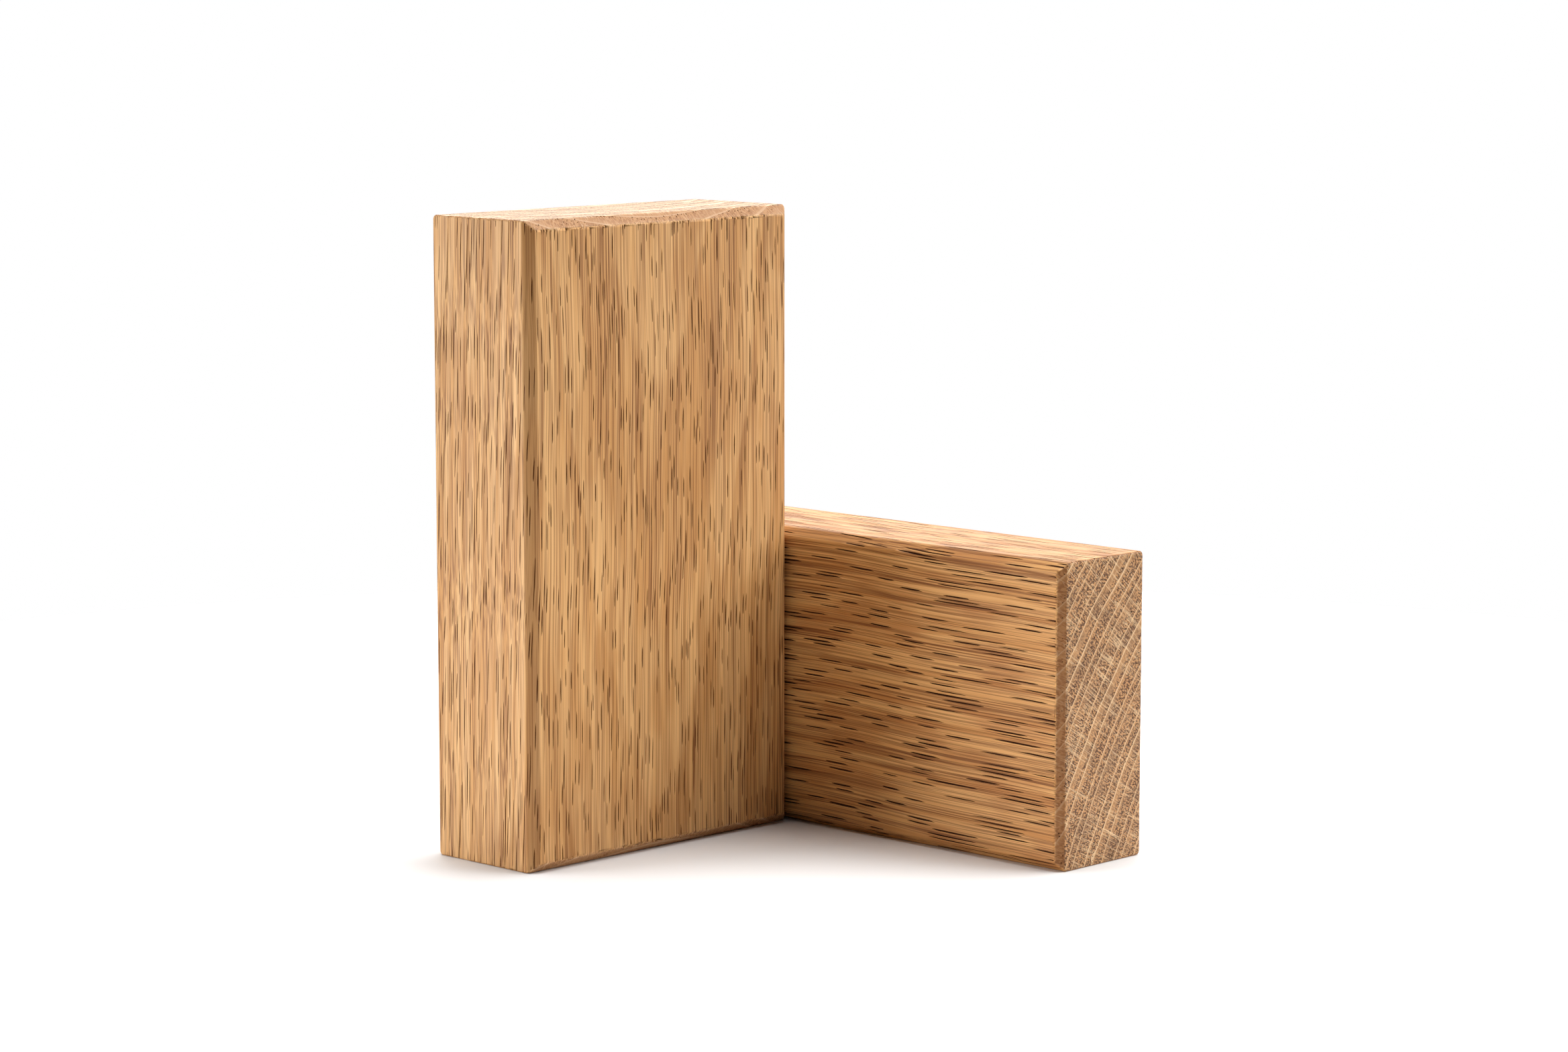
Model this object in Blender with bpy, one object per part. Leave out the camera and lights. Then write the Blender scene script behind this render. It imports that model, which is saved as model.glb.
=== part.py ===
"""A pair of solid oak blocks.

The larger block stands on its end grain. The smaller one lies on a long narrow side, and the
upright's narrow side rests flat on its broad face, so that the two make an L seen from above.
Each is one piece of wood: a planed board cut to length, with its broad faces chamfered all
round and every remaining arris eased with fine paper.

The frame has +Z up. +X runs along the upright's width, towards the lying block, and +Y runs
along the lying block's length, away from the upright's front face. The origin is on the
surface that the blocks stand on, under the middle of the pair. Sizes are in metres.
"""

from math import radians

import bmesh
import bpy
from mathutils import Euler, Vector

# Upright block
UPRIGHT_HEIGHT = 0.150
UPRIGHT_WIDTH = 0.085
UPRIGHT_THICKNESS = 0.0345
UPRIGHT_CHAMFER = 0.0022

# Lying block
LYING_LENGTH = 0.130
LYING_WIDTH = 0.072
LYING_THICKNESS = 0.0305
LYING_SIDE_CHAMFER = 0.0022
LYING_END_CHAMFER = 0.0018

# How the two stand together
LYING_REACH = 0.0855  # from the upright's front face to the lying block's front end
CONTACT_GAP = 0.0003  # what touching faces keep between them

# Finish of the arrises
EASED_OFFSET = 0.0004
EASED_STEPS = 2

# Worked out from the above
PAIR_WIDTH = UPRIGHT_WIDTH + CONTACT_GAP + LYING_THICKNESS
UPRIGHT_CENTRE = Vector(
    (
        (UPRIGHT_WIDTH - PAIR_WIDTH) / 2,
        LYING_REACH + (UPRIGHT_THICKNESS - LYING_LENGTH) / 2,
        UPRIGHT_HEIGHT / 2,
    )
)
LYING_CENTRE = Vector(((PAIR_WIDTH - LYING_THICKNESS) / 2, 0.0, LYING_WIDTH / 2))
UPRIGHT_TURN = Euler((0.0, 0.0, 0.0))
LYING_TURN = Euler((0.0, radians(-90), radians(-90)))

# Colours as linear RGB
UPRIGHT_OAK = (0.60, 0.36, 0.165)
LYING_OAK = (0.50, 0.27, 0.105)
OAK_ROUGHNESS = 0.52


def clear_scene():
    """Takes away whatever the scene already holds."""
    for thing in list(bpy.data.objects):
        bpy.data.objects.remove(thing)


def oak(name, colour):
    """Planed and lightly oiled oak."""
    material = bpy.data.materials.new(name)
    material.use_nodes = True
    shader = material.node_tree.nodes["Principled BSDF"]
    shader.inputs["Base Color"].default_value = (*colour, 1.0)
    shader.inputs["Roughness"].default_value = OAK_ROUGHNESS
    shader.inputs["Metallic"].default_value = 0.0
    return material


def plane_off(mesh, point, normal):
    """Removes what lies beyond a plane and closes the cut with one flat face."""
    cut = bmesh.ops.bisect_plane(
        mesh,
        geom=[*mesh.verts, *mesh.edges, *mesh.faces],
        dist=1e-7,
        plane_co=point,
        plane_no=normal,
        clear_outer=True,
    )
    rim = [part for part in cut["geom_cut"] if isinstance(part, bmesh.types.BMEdge)]
    bmesh.ops.contextual_create(mesh, geom=rim)


def chamfer_broad_faces(mesh, half, side_chamfer, end_chamfer):
    """Planes a 45 degree chamfer on all four edges of both broad faces, which look along Y."""
    for face in (-1, 1):
        for side in (-1, 1):
            along_grain = Vector((side * (half.x - side_chamfer), face * half.y, 0.0))
            plane_off(mesh, along_grain, Vector((side, face, 0)).normalized())
            across_grain = Vector((0.0, face * half.y, side * (half.z - end_chamfer)))
            plane_off(mesh, across_grain, Vector((0, face, side)).normalized())


def ease_arrises(mesh):
    """Rounds every edge a little, as a few strokes of fine paper do."""
    bmesh.ops.bevel(
        mesh,
        geom=list(mesh.edges),
        offset=EASED_OFFSET,
        segments=EASED_STEPS,
        profile=0.5,
        affect="EDGES",
        clamp_overlap=True,
        material=-1,
    )


def block(name, width, thickness, length, side_chamfer, end_chamfer, material):
    """One oak block centred on its own origin, with its grain along Z and its width along X."""
    mesh = bmesh.new()
    bmesh.ops.create_cube(mesh, size=1.0)
    bmesh.ops.scale(mesh, vec=Vector((width, thickness, length)), verts=mesh.verts)
    half = Vector((width, thickness, length)) / 2
    chamfer_broad_faces(mesh, half, side_chamfer, end_chamfer)
    bmesh.ops.remove_doubles(mesh, verts=mesh.verts, dist=1e-6)
    ease_arrises(mesh)
    bmesh.ops.recalc_face_normals(mesh, faces=mesh.faces)
    data = bpy.data.meshes.new(name)
    mesh.to_mesh(data)
    mesh.free()
    data.shade_smooth()
    data.set_sharp_from_angle(angle=radians(30))
    data.materials.append(material)
    made = bpy.data.objects.new(name, data)
    bpy.context.scene.collection.objects.link(made)
    return made


def upright_block():
    """The larger block, on its end grain, with its broad front face looking along -Y."""
    made = block(
        "upright_block",
        UPRIGHT_WIDTH,
        UPRIGHT_THICKNESS,
        UPRIGHT_HEIGHT,
        UPRIGHT_CHAMFER,
        UPRIGHT_CHAMFER,
        oak("oak_upright", UPRIGHT_OAK),
    )
    made.location = UPRIGHT_CENTRE
    made.rotation_euler = UPRIGHT_TURN


def lying_block():
    """The smaller block, turned so that its grain runs along Y and its width stands up."""
    made = block(
        "lying_block",
        LYING_WIDTH,
        LYING_THICKNESS,
        LYING_LENGTH,
        LYING_SIDE_CHAMFER,
        LYING_END_CHAMFER,
        oak("oak_lying", LYING_OAK),
    )
    made.location = LYING_CENTRE
    made.rotation_euler = LYING_TURN


clear_scene()
upright_block()
lying_block()
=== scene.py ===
# %% [markdown]
# # A pair of oak blocks
#
# The real thing is two blocks of planed oak. The larger one stands on its end grain. The smaller
# one lies on a long narrow side, and the larger one's side rests flat on its broad face. All
# the interest is in the wood: growth rings, open pores, rays and the fine line of a chamfer.
#
# The CAD model gives the size and place of both blocks, and this lesson makes their surface. It
# starts by loading that model as a frame that nothing here may move.

# %% The fixed frame
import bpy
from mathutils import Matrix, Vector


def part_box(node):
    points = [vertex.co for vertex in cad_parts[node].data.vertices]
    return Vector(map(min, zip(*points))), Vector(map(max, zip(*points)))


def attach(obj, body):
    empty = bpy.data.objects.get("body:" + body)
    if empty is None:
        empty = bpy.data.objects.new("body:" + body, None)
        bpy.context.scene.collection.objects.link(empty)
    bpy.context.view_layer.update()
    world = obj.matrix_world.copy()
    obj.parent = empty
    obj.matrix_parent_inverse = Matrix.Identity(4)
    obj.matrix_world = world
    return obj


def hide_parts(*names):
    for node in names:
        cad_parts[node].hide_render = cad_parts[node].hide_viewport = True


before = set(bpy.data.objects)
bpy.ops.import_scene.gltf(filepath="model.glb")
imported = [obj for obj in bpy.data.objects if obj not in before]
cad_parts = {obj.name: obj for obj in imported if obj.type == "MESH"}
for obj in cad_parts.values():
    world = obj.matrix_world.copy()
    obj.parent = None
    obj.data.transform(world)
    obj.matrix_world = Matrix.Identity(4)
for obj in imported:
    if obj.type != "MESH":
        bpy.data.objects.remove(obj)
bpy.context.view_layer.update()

# %% Modules and units
from dataclasses import dataclass
from math import cos, pi, radians, sin

import bmesh
import bpy
import numpy as np
from mathutils import Matrix, Vector

MM = 0.001
rng = np.random.default_rng(seed=1871)

# %% [markdown]
# ## The camera
#
# A product photographer shoots small blocks with a long lens from about a metre away, a little
# above the table, so that upright edges stay nearly upright. We could place the camera by hand,
# but an aim, a turn round the object, a rise and a distance are easier to read and to change.

# %% Camera
AIM = Vector((-7.1, -10.2, 78.8)) * MM
CAMERA_TURN = radians(-46.03)  # 0 looks straight at the upright block's broad face
CAMERA_RISE = radians(7.8)
CAMERA_DISTANCE = 980 * MM
LENS = 97.7  # mm
SENSOR_WIDTH = 36.0  # mm
NEAREST_SEEN = 0.01
FARTHEST_SEEN = 50.0


def direction(turn, rise):
    """Points from the object towards someone who stands at that turn and rise."""
    return Vector((sin(turn) * cos(rise), -cos(turn) * cos(rise), sin(rise)))


def link(thing):
    """Adds an object to the scene."""
    bpy.context.scene.collection.objects.link(thing)
    return thing


def look(thing, place, target):
    """Stands a camera or a lamp at a place and turns it to a target."""
    thing.location = place
    thing.rotation_euler = (target - place).to_track_quat("-Z", "Y").to_euler()


camera_data = bpy.data.cameras.new("camera")
camera_data.lens = LENS
camera_data.sensor_width = SENSOR_WIDTH
camera_data.clip_start = NEAREST_SEEN
camera_data.clip_end = FARTHEST_SEEN
camera = link(bpy.data.objects.new("camera", camera_data))
look(camera, AIM + direction(CAMERA_TURN, CAMERA_RISE) * CAMERA_DISTANCE, AIM)
bpy.context.scene.camera = camera
print("camera at", [round(side * 1000) for side in camera.location], "mm")

# %% [markdown]
# ## Sums that work on numbers and on shader sockets
#
# The pattern of the growth rings is needed twice: by the script, to decide where a pore is, and by
# the shader, to colour the wood. Written twice, the two would drift apart. So one small class
# wraps a shader socket and gives it Python's operators. Each sum then adds a Math node, and the
# same function takes NumPy arrays or sockets.

# %% Adding nodes, and a socket that does sums


def add_node(tree, kind, settings=None, **sockets):
    """Adds a node: its settings are set first, then the values or links of its sockets."""
    made = tree.nodes.new(kind)
    for name, value in (settings or {}).items():
        setattr(made, name, value)
    for name, value in sockets.items():
        plug(made.inputs[name.replace("_", " ")], value)
    return made


def plug(target, value):
    """Links a signal or a socket to a socket, or sets a plain value there."""
    if isinstance(value, Signal):
        value = value.socket
    if isinstance(value, bpy.types.NodeSocket):
        target.id_data.links.new(value, target)
    else:
        target.default_value = value


class Signal:
    """A shader socket that can be used in ordinary sums."""

    def __init__(self, socket):
        self.socket = socket

    def math(self, operation, *others, clamp=False):
        """One Math node with this signal first."""
        return do_sum(self.socket.id_data, operation, self, *others, clamp=clamp)

    def __add__(self, other):
        return self.math("ADD", other)

    def __radd__(self, other):
        return self.math("ADD", other)

    def __mul__(self, other):
        return self.math("MULTIPLY", other)

    def __rmul__(self, other):
        return self.math("MULTIPLY", other)

    def __sub__(self, other):
        return self.math("SUBTRACT", other)

    def __rsub__(self, other):
        return do_sum(self.socket.id_data, "SUBTRACT", other, self)

    def __truediv__(self, other):
        return self.math("DIVIDE", other)

    def __pow__(self, other):
        return self.math("POWER", other)


def do_sum(tree, operation, *values, clamp=False):
    """A Math node with its values in order."""
    made = add_node(tree, "ShaderNodeMath", {"operation": operation, "use_clamp": clamp})
    for target, value in zip(made.inputs, values):
        plug(target, value)
    return Signal(made.outputs[0])


def either(node_operation, numpy_function):
    """A function of one value that takes a signal or a NumPy array."""

    def worked_out(value):
        if isinstance(value, Signal):
            return value.math(node_operation)
        return numpy_function(value)

    return worked_out


sine = either("SINE", np.sin)
root = either("SQRT", np.sqrt)
floor = either("FLOOR", np.floor)


def smooth_step(value, low, high):
    """Rises softly from 0 at low to 1 at high. Low may be above high, for a fall."""
    share = (value - low) * (1 / (high - low))
    if isinstance(share, Signal):
        share = share.math("ADD", 0.0, clamp=True)
    else:
        share = np.clip(share, 0.0, 1.0)
    return share * share * (3 - 2 * share)


# %% [markdown]
# ## A white studio
#
# The blocks stand on a white table in a white room, where only the places close under them are
# in shadow. A curved paper sweep would look right from one side only, so we use a wide round
# table and a white world, which look the same from all round.
#
# The faces towards the left and the right are bright and the chamfers that face the camera are
# dark, so the light comes from both sides, from above and from behind, and hardly any from the
# camera.

# %% Colour management and the white room
bpy.context.scene.view_settings.view_transform = "Standard"
ROOM_SEEN = 1.0  # how bright the room is to the camera
ROOM_GLOW = 0.03  # how much light it gives


def white_room():
    """A world that is white to look at and gives a weaker, even light."""
    world = bpy.data.worlds.new("room")
    world.use_nodes = True
    tree = world.node_tree
    seen = add_node(tree, "ShaderNodeLightPath").outputs["Is Camera Ray"]
    strength = add_node(tree, "ShaderNodeMapRange", Value=seen, To_Min=ROOM_GLOW, To_Max=ROOM_SEEN)
    background = tree.nodes["Background"]
    plug(background.inputs["Strength"], strength.outputs["Result"])
    plug(background.inputs["Color"], (1.0, 1.0, 1.0, 1.0))
    bpy.context.scene.world = world


white_room()

# %% The table top
TABLE_RADIUS = 0.42
TABLE_SIDES = 96


def plain_finish(name, colour, roughness, gloss):
    """A material of one even colour, given as linear RGB."""
    material = bpy.data.materials.new(name)
    material.use_nodes = True
    shader = material.node_tree.nodes["Principled BSDF"]
    plug(shader.inputs["Base Color"], (*colour, 1.0))
    plug(shader.inputs["Roughness"], roughness)
    plug(shader.inputs["Specular IOR Level"], gloss)
    return material


def table_top():
    """A wide white disc, with its surface where the blocks stand."""
    mesh = bmesh.new()
    bmesh.ops.create_circle(mesh, cap_ends=True, segments=TABLE_SIDES, radius=TABLE_RADIUS)
    data = bpy.data.meshes.new("table_top")
    mesh.to_mesh(data)
    mesh.free()
    data.materials.append(
        plain_finish("white_table", colour=(0.86, 0.86, 0.86), roughness=0.7, gloss=0.2)
    )
    return link(bpy.data.objects.new("table_top", data))


table_top()
print("table top:", 2 * TABLE_RADIUS, "m wide")

# %% Lamps
LAMP_DISTANCE = 2.6
CAMERA_AT = CAMERA_TURN * 180 / pi  # the camera's turn in degrees


def softbox(name, turn, rise, side, watts):
    """A square soft light that hangs round the blocks and isn't seen itself."""
    lamp = bpy.data.lights.new(name, "AREA")
    lamp.shape = "SQUARE"
    lamp.size = side
    lamp.energy = watts
    made = link(bpy.data.objects.new(name, lamp))
    look(made, AIM + direction(radians(turn), radians(rise)) * LAMP_DISTANCE, AIM)
    made.visible_camera = False
    print(name, "is", side, "m wide and gives", watts, "W")


softbox("left_light", turn=CAMERA_AT - 85, rise=12, side=1.9, watts=68)
softbox("right_light", turn=CAMERA_AT + 98, rise=35, side=2.8, watts=97)
softbox("top_light", turn=CAMERA_AT + 180, rise=74, side=2.2, watts=86)
softbox("back_light", turn=CAMERA_AT + 180, rise=12, side=2.0, watts=30)

# %% [markdown]
# ## Two pieces of a tree
#
# Each block was sawn from a log, and everything that shows on it follows from where it lay
# there. So we don't paint a pattern on each face. We state how far the middle of the tree, the
# pith, was from the block's centre, and work out at any point how many growth rings lie
# between the two. The grain isn't dead straight either: it strays a little sideways as it runs
# along the block, in a few long waves.
#
# From here on, a block has its own directions: across its width, through its thickness and
# along its grain.

# %% What is known about each block


@dataclass
class OakBlock:
    """One block, with the part of the tree that it was sawn from. Lengths are in metres."""

    node: str  # the CAD node
    slot: str
    axes: tuple  # the row axes that its width, thickness and grain run along
    side_chamfer: float
    end_chamfer: float
    pith: tuple  # from the block's centre, across the width and through the thickness
    ring_width: float
    first_ring: float  # shifts the rings a part of one ring
    across_waves: tuple  # each wave of the grain: how far, how long, where it starts
    through_waves: tuple
    pore_length: tuple  # the shortest and the longest
    pore_radius: tuple
    pores_per_cm2: float
    # how much painted shade darkens its long chamfers, towards the dark chamfer colour
    painted_chamfer_shade: float  # how far the colour of its long chamfers goes to the dark one

    def __post_init__(self):
        low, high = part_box(self.node)
        self.centre = (low + high) / 2
        self.size = Vector([(high - low)[axis] for axis in self.axes])


upright = OakBlock(
    node="upright_block",
    slot="oak_upright",
    axes=(0, 1, 2),
    side_chamfer=2.2 * MM,
    end_chamfer=2.2 * MM,
    pith=(-2 * MM, 92 * MM),
    ring_width=3.4 * MM,
    first_ring=0.25,
    across_waves=((0.7 * MM, 190 * MM, 0.4), (0.14 * MM, 43 * MM, 2.0)),
    through_waves=((4.0 * MM, 600 * MM, pi), (0.1 * MM, 47 * MM, 0.3)),
    pore_length=(7 * MM, 25 * MM),
    pore_radius=(0.12 * MM, 0.20 * MM),
    pores_per_cm2=4.6,
    # painted shade on its long chamfers
    painted_chamfer_shade=0.5,
)
lying = OakBlock(
    node="lying_block",
    slot="oak_lying",
    axes=(2, 0, 1),
    side_chamfer=2.2 * MM,
    end_chamfer=1.8 * MM,
    pith=(-112 * MM, 169 * MM),
    ring_width=3.2 * MM,
    first_ring=0.1,
    across_waves=((1.2 * MM, 240 * MM, 0.6), (0.2 * MM, 61 * MM, 1.0)),
    through_waves=((1.2 * MM, 170 * MM, 0.0), (0.1 * MM, 47 * MM, 2.2)),
    pore_length=(9 * MM, 26 * MM),
    pore_radius=(0.16 * MM, 0.26 * MM),
    pores_per_cm2=3.5,
    # painted shade on its long chamfers
    painted_chamfer_shade=0.1,
)
for block in (upright, lying):
    print(block.node, "in mm:", [round(side * 1000, 1) for side in block.size])

# %% Where a point lay in the tree
# Waves in the spacing of the rings: how far, how long and where each starts
UNEVEN_RINGS = ((0.55 * MM, 5.3 * MM, 0.0), (0.3 * MM, 2.3 * MM, 1.0))


def waves(place, parts):
    """A few sine waves added up."""
    return sum(size * sine(place * (2 * pi / length) + start) for size, length, start in parts)


def from_pith(across, through, along, block):
    """How far a point is from the pith, in both directions, once the grain is straightened."""
    return (
        across - block.pith[0] - waves(along, block.across_waves),
        through - block.pith[1] - waves(along, block.through_waves),
    )


def ring_count(out_across, out_through, block):
    """How many rings lie between the pith and a point. A whole number is the start of spring."""
    radius = root(out_across * out_across + out_through * out_through)
    swelling = waves(radius, UNEVEN_RINGS)
    return (radius + swelling) * (1 / block.ring_width) + block.first_ring


def season(rings):
    """0 in early spring, growing to 1 at the end of the year's growth."""
    return rings - floor(rings)


for block in (upright, lying):
    middle_ring = ring_count(*from_pith(0.0, 0.0, 0.0, block), block)
    print("the middle of", block.node, "is in ring", int(middle_ring))

# %% [markdown]
# ## Planing and chamfering
#
# On the bench, a block is planed to size, and a plane held at 45 degrees takes a shaving off
# each edge of its two broad faces. The other edges only lose their sharpness to fine paper.
# Cutting a cube with planes repeats just what the tool does. A bevel on every edge would
# be quicker, but it would chamfer edges that the real blocks left square.

# %% A planed block
EASED = 0.5 * MM
EASED_STEPS = 3
CELL = 8.5 * MM  # the size of the squares that a broad face is divided into


def plane_off(mesh, point, normal):
    """Removes what lies beyond a plane and closes the cut with one flat face."""
    cut = bmesh.ops.bisect_plane(
        mesh,
        geom=[*mesh.verts, *mesh.edges, *mesh.faces],
        dist=1e-7,
        plane_co=point,
        plane_no=normal,
        clear_outer=True,
    )
    rim = [part for part in cut["geom_cut"] if isinstance(part, bmesh.types.BMEdge)]
    bmesh.ops.contextual_create(mesh, geom=rim)


def chamfer_broad_faces(mesh, block):
    """Planes a chamfer on all four edges of both broad faces."""
    half = block.size / 2
    for face in (-1, 1):
        for side in (-1, 1):
            along_grain = Vector((side * (half.x - block.side_chamfer), face * half.y, 0.0))
            plane_off(mesh, along_grain, Vector((side, face, 0)).normalized())
            across_grain = Vector((0.0, face * half.y, side * (half.z - block.end_chamfer)))
            plane_off(mesh, across_grain, Vector((0, face, side)).normalized())


def divide(mesh, block):
    """Cuts the faces into small cells, so that a pore is joined only to edges near it."""
    for axis in range(3):
        cells = round(block.size[axis] / CELL)
        for number in range(1, cells):
            point, normal = Vector(), Vector()
            point[axis] = block.size[axis] * (number / cells - 0.5)
            normal[axis] = 1.0
            whole = [*mesh.verts, *mesh.edges, *mesh.faces]
            bmesh.ops.bisect_plane(mesh, geom=whole, dist=1e-7, plane_co=point, plane_no=normal)


def planed_block(block):
    """The block without its pores, centred, with its width along X and its grain along Z."""
    mesh = bmesh.new()
    bmesh.ops.create_cube(mesh, size=1.0)
    bmesh.ops.scale(mesh, vec=block.size, verts=mesh.verts)
    chamfer_broad_faces(mesh, block)
    bmesh.ops.remove_doubles(mesh, verts=mesh.verts, dist=1e-6)
    bmesh.ops.bevel(
        mesh,
        geom=list(mesh.edges),
        offset=EASED,
        segments=EASED_STEPS,
        profile=0.5,
        affect="EDGES",
        clamp_overlap=True,
        material=-1,
    )
    divide(mesh, block)
    bmesh.ops.triangulate(mesh, faces=mesh.faces)
    bmesh.ops.recalc_face_normals(mesh, faces=mesh.faces)
    return mesh


# %% [markdown]
# ## Open pores
# Their walls are painted near-black too: painted shade for the dark inside of the open tubes.
#
# Oak's spring wood is full of vessels, tubes a few tenths of a millimetre wide. Where a tube
# lies in a face that runs with the grain, it is cut open as a fine dark groove some
# millimetres long. On the end grain the same tubes are round holes. A bump map would fake them,
# but a real groove catches the light from any side, so each pore is cut out of the solid.
#
# The ring count says where they belong: most of them in the first half of each ring.

# %% Where the long pores lie
EARLY_WOOD = 0.46  # the part of a ring that grows in spring
SEASON_BLUR = 0.12  # how softly its long pores thin out
LATE_PORES = 0.45  # the share of the long pores that is kept in late wood
LATE_LENGTH = 0.5  # how far these reach into the range of lengths, where spring's reach 1
LONG_TRIES = 60000
PAST_THE_END = 3 * MM  # how far beyond an end the middle of a pore may lie
PORE_SPACE = 0.24 * MM  # what neighbouring pores keep between them
CM2_IN_M2 = 1e4


def section_corners(block):
    """The corners of a cut across the grain, in order round the block."""
    half_width, half_thickness = block.size.x / 2, block.size.y / 2
    inner_width = half_width - block.side_chamfer
    inner_thickness = half_thickness - block.side_chamfer
    quarter = np.array([(half_width, inner_thickness), (inner_width, half_thickness)])
    opposite = (quarter * (-1, 1))[::-1]
    upper = np.vstack([quarter, opposite])
    return np.vstack([upper, -upper])


def section_sides(block):
    """Each side of that cut: where it starts, the way along it and the way out."""
    corners = section_corners(block)
    steps = np.roll(corners, -1, axis=0) - corners
    lengths = np.linalg.norm(steps, axis=1)
    along = steps / lengths[:, None]
    outward = np.stack([along[:, 1], -along[:, 0]], axis=1)
    return corners, along, outward, lengths


def spaced(places, lengths, widths, most):
    """Picks places in turn that keep clear of those already picked, up to a number."""
    picked = []
    taken = np.empty((most, 4))
    for index, (side, along) in enumerate(places):
        near = taken[: len(picked)]
        beside = np.abs(near[:, 0] - side) < near[:, 2] + widths[index] + PORE_SPACE
        level = np.abs(near[:, 1] - along) < near[:, 3] + lengths[index] + PORE_SPACE
        if not (beside & level).any():
            taken[len(picked)] = (side, along, widths[index], lengths[index])
            picked.append(index)
            if len(picked) == most:
                break
    return np.array(picked)


def between(limits, share):
    """The first limit where the share is 0, growing to the second where it is 1."""
    return limits[0] + (limits[1] - limits[0]) * share


def long_pores(block):
    """Places, sizes and directions of the pores that show on the sides along the grain."""
    corners, along_side, outward, lengths = section_sides(block)
    side = rng.choice(len(lengths), LONG_TRIES, p=lengths / lengths.sum())
    share = rng.random(LONG_TRIES)
    across = corners[side] + along_side[side] * (share * lengths[side])[:, None]
    along = (rng.random(LONG_TRIES) - 0.5) * (block.size.z + 2 * PAST_THE_END)
    part = season(ring_count(*from_pith(across[:, 0], across[:, 1], along, block), block))
    early = smooth_step(part, EARLY_WOOD + SEASON_BLUR, EARLY_WOOD - SEASON_BLUR)
    kept = rng.random(LONG_TRIES) < between((LATE_PORES, 1.0), early)
    radius = between(block.pore_radius, rng.random(LONG_TRIES))
    stretch = rng.random(LONG_TRIES) * between((LATE_LENGTH, 1.0), early)
    half_length = between(block.pore_length, stretch) / 2
    round_block = (np.cumsum(lengths) - lengths)[side] + share * lengths[side]
    order = np.flatnonzero(kept)
    most = round(lengths.sum() * block.size.z * CM2_IN_M2 * block.pores_per_cm2)
    picked = order[
        spaced(
            np.stack([round_block, along], axis=1)[order],
            half_length[order],
            radius[order],
            most,
        )
    ]
    return across[picked], along[picked], outward[side[picked]], radius[picked], half_length[picked]


# %% Where the end pores lie
END_BLUR = 0.2  # how softly the end pores thin out at the end of spring
END_TRIES = 30000
END_MARGIN = 0.7 * MM  # what they keep from the sides
END_PORE_RADIUS = (0.11 * MM, 0.18 * MM)
END_PORES_PER_CM2 = 34


def end_height(through, block):
    """How far from the middle the end face is, which falls away over its chamfers."""
    flat = block.size.y / 2 - block.end_chamfer
    return block.size.z / 2 - np.maximum(np.abs(through) - flat, 0.0)


def end_pores(block, end):
    """Places and sizes of the pores that show on one end."""
    place = (rng.random((END_TRIES, 2)) - 0.5) * np.array(block.size.xy)
    corners, _, outward, _ = section_sides(block)
    inside = ((place[:, None] - corners) * outward).sum(2).max(1) < -END_MARGIN
    along = end * end_height(place[:, 1], block)
    part = season(ring_count(*from_pith(place[:, 0], place[:, 1], along, block), block))
    early = smooth_step(part, EARLY_WOOD, EARLY_WOOD - END_BLUR)
    kept = inside & (rng.random(END_TRIES) < early)
    radius = between(END_PORE_RADIUS, rng.random(END_TRIES))
    order = np.flatnonzero(kept)
    most = round(block.size.x * block.size.y * CM2_IN_M2 * END_PORES_PER_CM2)
    picked = order[spaced(place[order], radius[order], radius[order], most)]
    return place[picked], along[picked], radius[picked]


# %% [markdown]
# ## Cutting the pores
#
# A long pore is cut by a slim spindle whose middle line lies just above the face, and an end pore
# by a blunt pin. Both start as a bmesh shape with five sides. Thousands of operator calls would
# take minutes, so each shape is copied to all its places with NumPy, and the Boolean's MANIFOLD
# solver takes all of them out of the block at once.
#
# The block's own faces were made triangles for this. With larger faces, some sets of pores
# stalled the Boolean.

# %% Cutters for the pores
PORE_SIDES = 5
SPINDLE_RINGS = 4
SPINDLE_LIFT = 0.35  # of its radius, so that the groove's walls lean outwards
PIN_DEPTH = 0.45 * MM
PIN_TOP = 0.4 * MM  # how far a pin stands out of the end
PIN_TIP_RADIUS = 0.7  # where the pore's own is 1
PIN_TOP_RADIUS = 1.15


def prototype(make, **options):
    """The vertices and faces of one bmesh shape."""
    mesh = bmesh.new()
    make(mesh, **options)
    mesh.verts.ensure_lookup_table()
    points = np.array([vertex.co for vertex in mesh.verts])
    faces = [[vertex.index for vertex in face.verts] for face in mesh.faces]
    mesh.free()
    return points, faces


def spindles(block, pores):
    """One spindle for each long pore, bent with the grain."""
    across, along, outward, radius, half_length = pores
    points, faces = prototype(
        bmesh.ops.create_uvsphere, u_segments=PORE_SIDES, v_segments=SPINDLE_RINGS, radius=1.0
    )
    beside = np.stack([-outward[:, 1], outward[:, 0]], axis=1)
    out = -points[:, 0] * radius[:, None] + SPINDLE_LIFT * radius[:, None]
    side = -points[:, 1] * radius[:, None]
    height = along[:, None] + points[:, 2] * half_length[:, None]
    flat = across[:, None] + out[..., None] * outward[:, None] + side[..., None] * beside[:, None]
    for axis, parts in enumerate((block.across_waves, block.through_waves)):
        flat[..., axis] += waves(height, parts) - waves(along, parts)[:, None]
    return np.concatenate([flat, height[..., None]], axis=2), faces


def pins(pores, end):
    """One pin for each end pore, wider at the top."""
    place, along, radius = pores
    points, faces = prototype(
        bmesh.ops.create_cone,
        segments=PORE_SIDES,
        radius1=PIN_TIP_RADIUS,
        radius2=PIN_TOP_RADIUS,
        depth=1.0,
        cap_ends=True,
    )
    turned = points * (1.0, end, end)
    flat = place[:, None] + turned[:, :2] * radius[:, None, None]
    middle = (PIN_TOP - PIN_DEPTH) / 2
    height = along[:, None] + end * middle + turned[:, 2] * (PIN_TOP + PIN_DEPTH)
    return np.concatenate([flat, height[..., None]], axis=2), faces


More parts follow.
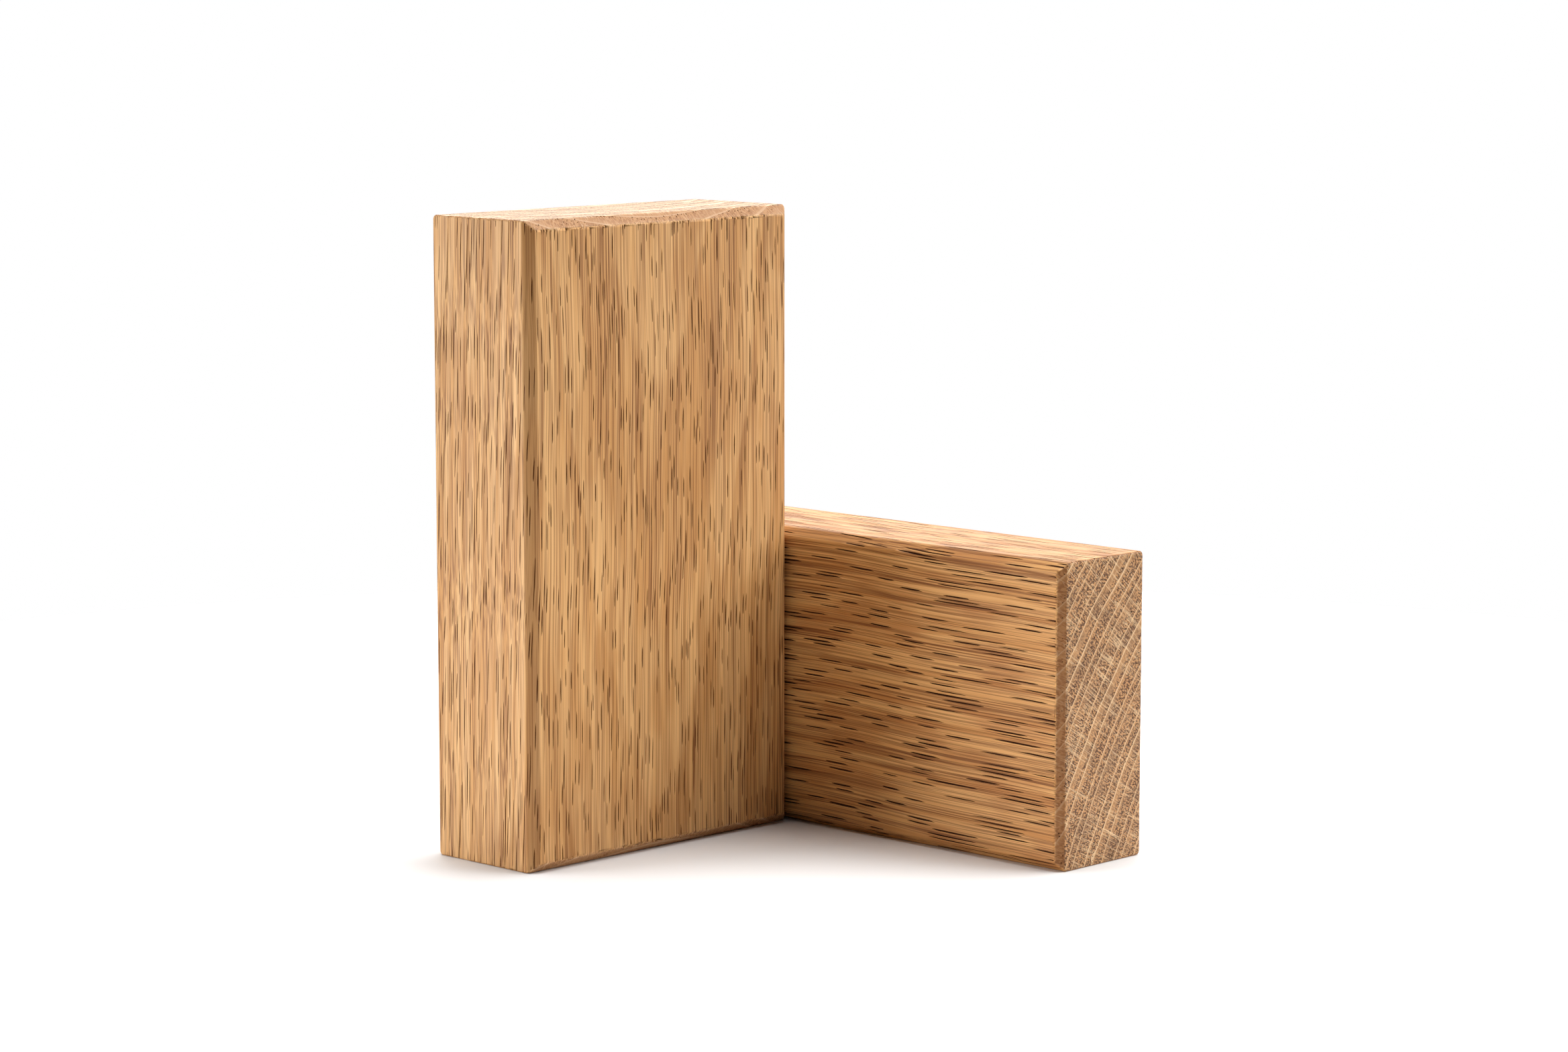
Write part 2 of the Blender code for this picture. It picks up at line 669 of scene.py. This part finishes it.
def cutter(name, shapes):
    """One mesh of all the cutters, each given as its points and its faces."""
    points, faces, first = [], [], 0
    for places, shape in shapes:
        count, corners = places.shape[:2]
        points.append(places.reshape(-1, 3))
        starts = first + corners * np.arange(count)
        faces += [[start + corner for corner in face] for start in starts.tolist() for face in shape]
        first += count * corners
    data = bpy.data.meshes.new(name)
    data.from_pydata(np.concatenate(points).tolist(), [], faces)
    return link(bpy.data.objects.new(name, data))


# %% [markdown]
# ## Flat faces, soft edges and a map
#
# A planed face has to look dead flat right up to its rounded edge, so only the rounded edges
# are shaded smooth. Each face also gets a number that says how far it looks along the grain,
# because end grain has its own look. Last, the block's skin is unrolled onto one sheet: the sides
# next to each other, in their order round the grain, and both ends above them.

# %% Finishing the mesh
PORE_MARGIN = 0.35 * MM  # a pore that lies deeper than this below the sides is an end pore
ON_THE_END = 0.6  # a face that looks along the grain by more than this is on an end
FLAT = 0.9998  # how well a face has to agree with a planed direction to be flat
MAP_GAP = 2 * MM


def read(items, name, kind=float, width=3):
    """One property of all the items of a mesh as an array."""
    values = np.empty(len(items) * width, dtype=kind)
    items.foreach_get(name, values)
    return values.reshape(-1, width) if width > 1 else values


def flat_faces(normals, in_a_pore):
    """Which faces are planed or cut: all but those of the rounded edges."""
    ways = np.array([(1, 0, 0), (0, 1, 0), (0, 0, 1), (1, 1, 0), (1, -1, 0), (0, 1, 1), (0, 1, -1)])
    ways = ways / np.linalg.norm(ways, axis=1)[:, None]
    return (np.abs(normals @ ways.T).max(1) > FLAT) | in_a_pore


def unroll(data, block, side, on_end, on_top):
    """Makes the map. Each face comes with its side and whether it is on an end, and on the top."""
    corners, along_side, _, lengths = section_sides(block)
    face_of = np.repeat(np.arange(len(data.polygons)), read(data.polygons, "loop_total", int, 1))
    place = read(data.vertices, "co")[read(data.loops, "vertex_index", int, 1)]
    side_of, end_of, top_of = side[face_of], on_end[face_of], on_top[face_of]
    along = ((place[:, :2] - corners[side_of]) * along_side[side_of]).sum(1)
    round_block = (np.cumsum(lengths) - lengths)[side_of] + along
    end_middle = np.where(top_of, block.size.x / 2, block.size.x * 1.5 + MAP_GAP)
    flipped = place[:, 0] * np.where(top_of, 1, -1)
    sheet_across = np.where(end_of, end_middle + flipped, round_block)
    end_row = block.size.z + MAP_GAP + block.size.y / 2
    sheet_up = np.where(end_of, end_row + place[:, 1], place[:, 2] + block.size.z / 2)
    sheet = max(lengths.sum(), end_row + block.size.y / 2) + 2 * MAP_GAP
    spots = (np.stack([sheet_across, sheet_up], axis=1) + MAP_GAP) / sheet
    data.uv_layers.new(name="OFBake").data.foreach_set("uv", spots.ravel())


def finish_mesh(data, block):
    """Sets smooth edges, the end grain number and the map."""
    faces = data.polygons
    middles, normals = read(faces, "center"), read(faces, "normal")
    in_a_pore = read(faces, "material_index", int, 1) > 0
    corners, _, outward, _ = section_sides(block)
    height_above = ((middles[:, None, :2] - corners) * outward).sum(2)
    deep = height_above.max(1) < -PORE_MARGIN
    on_end = np.where(in_a_pore, deep, np.abs(normals[:, 2]) > ON_THE_END)
    faces.foreach_set("use_smooth", ~flat_faces(normals, in_a_pore))
    grain = data.attributes.new("end_grain", "FLOAT", "FACE")
    grain.data.foreach_set("value", np.where(in_a_pore, on_end * 1.0, np.abs(normals[:, 2])))
    unroll(data, block, height_above.argmax(1), on_end, middles[:, 2] > 0)


# %% A finished block


def stand_in_place(block):
    """Turns the block's own directions into those of the row and moves it to its place."""
    turn = Matrix.Identity(4)
    for own, row in enumerate(block.axes):
        turn.col[own] = [float(row == axis) for axis in range(3)] + [0.0]
    return Matrix.Translation(block.centre) @ turn


def carve(block, name, wood, pore):
    """The block with all its pores cut, in its place."""
    data = bpy.data.meshes.new(name)
    mesh = planed_block(block)
    mesh.to_mesh(data)
    mesh.free()
    data.materials.append(wood)
    made = link(bpy.data.objects.new(name, data))
    long_ones = long_pores(block)
    end_ones = [(end_pores(block, end), end) for end in (-1, 1)]
    tool = cutter(
        "pore_cutter",
        [spindles(block, long_ones), *(pins(pores, end) for pores, end in end_ones)],
    )
    tool.data.materials.append(pore)
    cut = made.modifiers.new("pores", "BOOLEAN")
    cut.operation = "DIFFERENCE"
    cut.solver = "MANIFOLD"
    cut.material_mode = "TRANSFER"
    cut.object = tool
    ready = made.evaluated_get(bpy.context.evaluated_depsgraph_get())
    made.data = bpy.data.meshes.new_from_object(ready)
    made.modifiers.clear()
    bpy.data.objects.remove(tool)
    finish_mesh(made.data, block)
    made.data.transform(stand_in_place(block))
    triangles = sum(len(face.vertices) - 2 for face in made.data.polygons)
    print(name, len(long_ones[0]), "long pores", [len(pores[0]) for pores, _ in end_ones], "end pores")
    print("triangles:", triangles)
    return made


# %% [markdown]
# ## The colour of oak
#
# Planed oak is a warm tan. Late wood is smooth and honey coloured, early wood is a little darker
# and redder, and fine fibres run all through it. A wooden texture image would stop at each edge
# of the block. We colour the solid instead: every colour depends on where the point lay in the
# tree, so a ring that meets an edge goes on round it, just as in the real block.
#
# Each kind of mark is noise, in cells that are long with the grain or along a ray. Two things
# don't follow the tree. The finest marks don't dive under the surface where the grain slopes,
# because they would show too short. And the chamfers get a darker colour than the faces, which
# partly stands in for the weaker light on them.

# %% Tools for colours


def mixed(share, first, second):
    """A Mix node between two colours."""
    made = add_node(share.socket.id_data, "ShaderNodeMix", {"data_type": "RGBA"})
    plug(made.inputs["Factor"], share)
    for target, value in (("A_Color", first), ("B_Color", second)):
        socket = next(port for port in made.inputs if port.identifier == target)
        plug(socket, (*value, 1.0) if isinstance(value, tuple) else value)
    return next(port for port in made.outputs if port.identifier == "Result_Color")


@dataclass
class Marks:
    """One kind of mark in the wood, drawn by soft noise between about 0.2 and 0.8."""

    size: tuple  # of a cell of the noise, in mm each way
    detail: float = 2.0
    shows: tuple = (0.0, 1.0)  # the noise where a mark starts to show, and where it is full
    strength: float = 1.0
    more_in_spring: float = 0.0

    def cells(self, place):
        """The noise at a place, which is three signals."""
        parts = [part * (1 / (side * MM)) for part, side in zip(place, self.size)]
        tree = parts[0].socket.id_data
        spot = add_node(tree, "ShaderNodeCombineXYZ", X=parts[0], Y=parts[1], Z=parts[2])
        noise = add_node(
            tree,
            "ShaderNodeTexNoise",
            Vector=spot.outputs[0],
            Scale=1.0,
            Detail=self.detail,
            Roughness=0.5,
        )
        return Signal(noise.outputs[0])

    def shown(self, cells, early=0.0):
        """How much of their own colour the marks have."""
        return smooth_step(cells, *self.shows) * (self.strength + early * self.more_in_spring)


@dataclass
class OakColours:
    """The colours of one block, as linear RGB."""

    late: tuple
    early: tuple
    red: tuple
    fibre: tuple
    end: tuple
    end_grey: tuple
    end_dark: tuple
    # the colour of the chamfers: painted shade for the weaker light on them
    chamfer: tuple
    cream: tuple


# %% The grain along the sides
SPRING_STARTS = (0.0, 0.10)  # the parts of a ring where its spring colour comes
SPRING_ENDS = (0.75, 0.3)  # and where it goes again, the end first
SPRING_TINT = 0.45
FIBRES = Marks(size=(0.22, 0.22, 40), shows=(0.47, 0.66), strength=0.6)
STRANDS = Marks(size=(1.4, 1.4, 80), shows=(0.38, 0.66), strength=0.45)
BLUSH = Marks(size=(7, 7, 26), shows=(0.46, 0.66), strength=0.5)
STREAKS = Marks(
    size=(0.36, 0.36, 50), detail=1.0, shows=(0.54, 0.63), strength=0.45, more_in_spring=0.3
)
FINE_PORES = Marks(
    size=(0.26, 0.26, 36), detail=0.0, shows=(0.67, 0.74), strength=0.45, more_in_spring=0.45
)
# What fibres, strands, spring wood, streaks and fine pores add to the height of the surface
RELIEF = (0.5, 0.3, -0.25, -0.3, -0.5)


def spring_wood(rings):
    """1 in the spring wood of each ring, fading to 0 in its late wood."""
    part = season(rings)
    return smooth_step(part, *SPRING_STARTS) * smooth_step(part, *SPRING_ENDS)


def side_grain(place, through, early, colours):
    """The colour along the grain, the height of its relief and its fibres."""
    level = (place[0], through, place[2])
    fibres = FIBRES.cells(level)
    strands = STRANDS.cells(level)
    streaks = STREAKS.shown(STREAKS.cells(level), early)
    fine_pores = FINE_PORES.shown(FINE_PORES.cells(level), early)
    spring = early * SPRING_TINT + STRANDS.shown(strands)
    colour = mixed(spring, colours.late, colours.early)
    colour = mixed(BLUSH.shown(BLUSH.cells(place)), colour, colours.red)
    colour = mixed(FIBRES.shown(fibres), colour, colours.fibre)
    colour = mixed(streaks, colour, colours.fibre)
    colour = mixed(fine_pores, colour, colours.fibre)
    parts = (fibres, strands, early, streaks, fine_pores)
    relief = sum(part * height for part, height in zip(parts, RELIEF))
    return colour, relief, fibres


# %% The end grain
PATCHES = Marks(size=(6, 6, 6), detail=3.0, shows=(0.46, 0.64))
VESSELS = Marks(size=(0.42, 0.7, 5), detail=1.0, shows=(0.45, 0.53))
# The fine rays run where their noise is 0.5, so their range is a distance from that.
FINE_RAYS = Marks(size=(0.9, 16, 5), detail=1.0, shows=(0.03, 0.0), strength=0.5)
BOLD_RAYS = Marks(size=(0.2, 22, 5), detail=0.0, shows=(0.68, 0.76), strength=0.5)
LATE_WOOD = (0.55, 0.85)  # the part of a ring where late wood comes in
VESSELS_LOST = 0.7  # the share of the vessels' colour that is missing there
RING_LINE = (0.84, 0.93)  # the part of a ring where its pale last line comes in
LINE_TINT = 0.75


def end_grain_colour(place, rings, block, colours):
    """Brown end grain with rows of small vessels, cream rays and cream ring lines."""
    out_across, out_through, along = place
    radius = root(out_across * out_across + out_through * out_through)
    arc = out_across.math("ARCTAN2", out_through) * Vector(block.pith).length
    round_pith = (arc, radius, along)
    colour = mixed(PATCHES.shown(PATCHES.cells(place)), colours.end, colours.end_grey)
    late = smooth_step(season(rings), *LATE_WOOD)
    vessels = VESSELS.shown(VESSELS.cells(round_pith)) * (1.0 - late * VESSELS_LOST)
    colour = mixed(vessels, colour, colours.end_dark)
    line = smooth_step(season(rings), *RING_LINE)
    colour = mixed(line * LINE_TINT, colour, colours.cream)
    fine_rays = FINE_RAYS.shown((FINE_RAYS.cells(round_pith) - 0.5).math("ABSOLUTE"))
    bold_rays = BOLD_RAYS.shown(BOLD_RAYS.cells(round_pith))
    return mixed(fine_rays + bold_rays, colour, colours.cream)


# %% The chamfers' painted shade
# The chamfers are painted darker than the faces. This is painted shade for the weaker light on them; on
# the end chamfers it lies over the end grain's own look.
CHAMFER_STARTS = 0.25 * MM  # how far short of a long chamfer its dark colour starts
CHAMFER_FULL = 0.1 * MM  # and how far short it is full
SLOPE_COMES = (0.5, 0.65)  # how far a face looks along the grain where an end chamfer comes
SLOPE_GOES = (0.95, 0.8)  # and where it goes again, the end first
# how much painted shade the end chamfers take
END_CHAMFER_PAINTED_SHADE = 0.7


def long_chamfer_painted_shade(across, through, block):
    """How much painted shade darkens the chamfers along the grain."""
    reach = across.math("ABSOLUTE") + through.math("ABSOLUTE")
    edge = (block.size.x + block.size.y) / 2 - block.side_chamfer
    return smooth_step(reach, edge - CHAMFER_STARTS, edge - CHAMFER_FULL) * block.painted_chamfer_shade


def end_chamfer_painted_shade(end_grain):
    """How much painted shade darkens the chamfers across the grain."""
    return smooth_step(end_grain, *SLOPE_COMES) * smooth_step(end_grain, *SLOPE_GOES) * END_CHAMFER_PAINTED_SHADE


# %% The material of a block
OAK_GLOSS = 0.4
OAK_ROUGHNESS = 0.44
SPRING_ROUGHNESS = 0.08  # what spring wood adds to it
FIBRE_ROUGHNESS = 0.1  # what the noise of the fibres adds to it
DRIFT = Marks(size=(14, 14, 60))
RINGS_OF_DRIFT = 0.5  # how many rings the lines wander over the whole range of the noise
END_LOOK = (0.3, 0.72)  # how far a face looks along the grain where end grain comes in


def oak(name, block, colours):
    """The material of a block."""
    material = bpy.data.materials.new(name)
    material.use_nodes = True
    tree = material.node_tree
    in_row = add_node(tree, "ShaderNodeTexCoord").outputs["Object"]
    centred = add_node(tree, "ShaderNodeMapping", Vector=in_row, Location=-block.centre)
    split = add_node(tree, "ShaderNodeSeparateXYZ", Vector=centred.outputs[0])
    across, through, along = (Signal(split.outputs[axis]) for axis in block.axes)
    out_across, out_through = from_pith(across, through, along, block)
    place = (out_across, out_through, along)
    drift = (DRIFT.cells(place) - 0.5) * RINGS_OF_DRIFT
    rings = ring_count(out_across, out_through, block) + drift
    early = spring_wood(rings)

    marker = add_node(tree, "ShaderNodeAttribute", {"attribute_name": "end_grain"})
    end_grain = Signal(marker.outputs["Fac"])
    colour, relief, fibres = side_grain(place, through, early, colours)
    # painted shade on the long chamfers
    colour = mixed(long_chamfer_painted_shade(across, through, block), colour, colours.chamfer)
    on_end = smooth_step(end_grain, *END_LOOK)
    colour = mixed(on_end, colour, end_grain_colour(place, rings, block, colours))
    # painted shade on the end chamfers
    colour = mixed(end_chamfer_painted_shade(end_grain), colour, colours.chamfer)

    bump = add_node(tree, "ShaderNodeBump", Height=relief, Strength=0.35, Distance=0.08 * MM)
    shader = tree.nodes["Principled BSDF"]
    plug(shader.inputs["Base Color"], colour)
    rough = OAK_ROUGHNESS + early * SPRING_ROUGHNESS + fibres * FIBRE_ROUGHNESS
    plug(shader.inputs["Roughness"], rough)
    plug(shader.inputs["Specular IOR Level"], OAK_GLOSS)
    plug(shader.inputs["Normal"], bump.outputs[0])
    print(name, "has", len(tree.nodes), "nodes")
    return material


# %% Both blocks in their places
PORE_ROUGHNESS = 0.8
PORE_GLOSS = 0.1
upright_colours = OakColours(
    late=(0.77, 0.445, 0.180),
    early=(0.60, 0.295, 0.090),
    red=(0.54, 0.25, 0.070),
    fibre=(0.21, 0.070, 0.013),
    end=(0.58, 0.33, 0.15),
    end_grey=(0.45, 0.26, 0.12),
    end_dark=(0.18, 0.070, 0.021),
    # the colour of the chamfers' painted shade
    chamfer=(0.40, 0.175, 0.052),
    cream=(0.88, 0.68, 0.45),
)
lying_colours = OakColours(
    late=(0.80, 0.43, 0.15),
    early=(0.58, 0.255, 0.067),
    red=(0.44, 0.155, 0.032),
    fibre=(0.19, 0.057, 0.009),
    end=(0.50, 0.25, 0.093),
    end_grey=(0.37, 0.19, 0.075),
    end_dark=(0.11, 0.040, 0.011),
    # the colour of the chamfers' painted shade
    chamfer=(0.29, 0.105, 0.022),
    cream=(0.78, 0.54, 0.30),
)
# The pores' walls are painted near-black: painted shade for the dark inside of the open tubes, added to
# the shade that the grooves cast.
upright_piece = carve(
    upright,
    "upright_oak_block",
    oak("upright_oak", upright, upright_colours),
    plain_finish("upright_pore_painted_shade", (0.11, 0.036, 0.009), PORE_ROUGHNESS, PORE_GLOSS),
)
lying_piece = carve(
    lying,
    "lying_oak_block",
    oak("lying_oak", lying, lying_colours),
    plain_finish("lying_pore_painted_shade", (0.035, 0.011, 0.003), PORE_ROUGHNESS, PORE_GLOSS),
)
for piece, block in ((upright_piece, upright), (lying_piece, lying)):
    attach(piece, "root")
    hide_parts(block.node)
